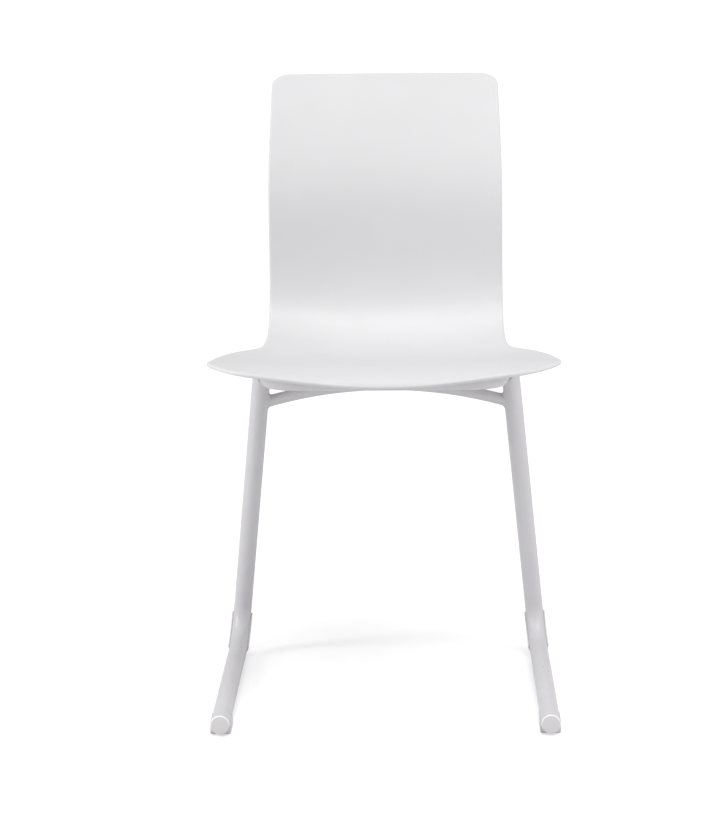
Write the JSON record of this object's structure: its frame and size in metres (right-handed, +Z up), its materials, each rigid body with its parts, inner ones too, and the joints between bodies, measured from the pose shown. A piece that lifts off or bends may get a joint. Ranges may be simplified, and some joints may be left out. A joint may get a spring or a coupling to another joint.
{
  "type": "stacking chair",
  "caption": "Stacking chair: one-piece moulded seat and back with a cut-in waist, on a bent steel-tube sled frame whose floor runners are open at the front.",
  "frame": {"origin": "on the floor, midway between the runners' front ends and the top of the back, in the plane of symmetry", "axes": "+Z up; the chair faces -Y; +X to the sitter's left"},
  "size_m": [0.4622, 0.5052, 0.8176],
  "materials": {
    "shell_plastic": "satin moulded polypropylene, fine grain",
    "frame_paint": "light grey-white powder coat, satin",
    "cap_plastic": "matt grey plastic",
    "glider_plastic": "matt grey plastic, worn sole",
    "buffer_plastic": "matt grey plastic",
    "zinc_steel": "bright zinc",
    "brass": "turned brass"
  },
  "bodies": {
    "root": {"arched_cross_bar": "frame_paint", "cross_bar_welds": "frame_paint", "front_cross_tube": "frame_paint", "front_left_bracket": "frame_paint", "front_right_bracket": "frame_paint", "glider_screws": "zinc_steel", "left_end_cap": "cap_plastic", "left_front_glider": "glider_plastic", "left_heel_glider": "glider_plastic", "left_leg_tube": "frame_paint", "left_stack_buffer": "buffer_plastic", "rear_left_bracket": "frame_paint", "rear_right_bracket": "frame_paint", "right_end_cap": "cap_plastic", "right_front_glider": "glider_plastic", "right_heel_glider": "glider_plastic", "right_leg_tube": "frame_paint", "right_stack_buffer": "buffer_plastic", "seat_shell": "shell_plastic", "shell_screw_washers": "zinc_steel", "shell_screws": "zinc_steel", "threaded_inserts": "brass"}
  },
  "joints": []
}
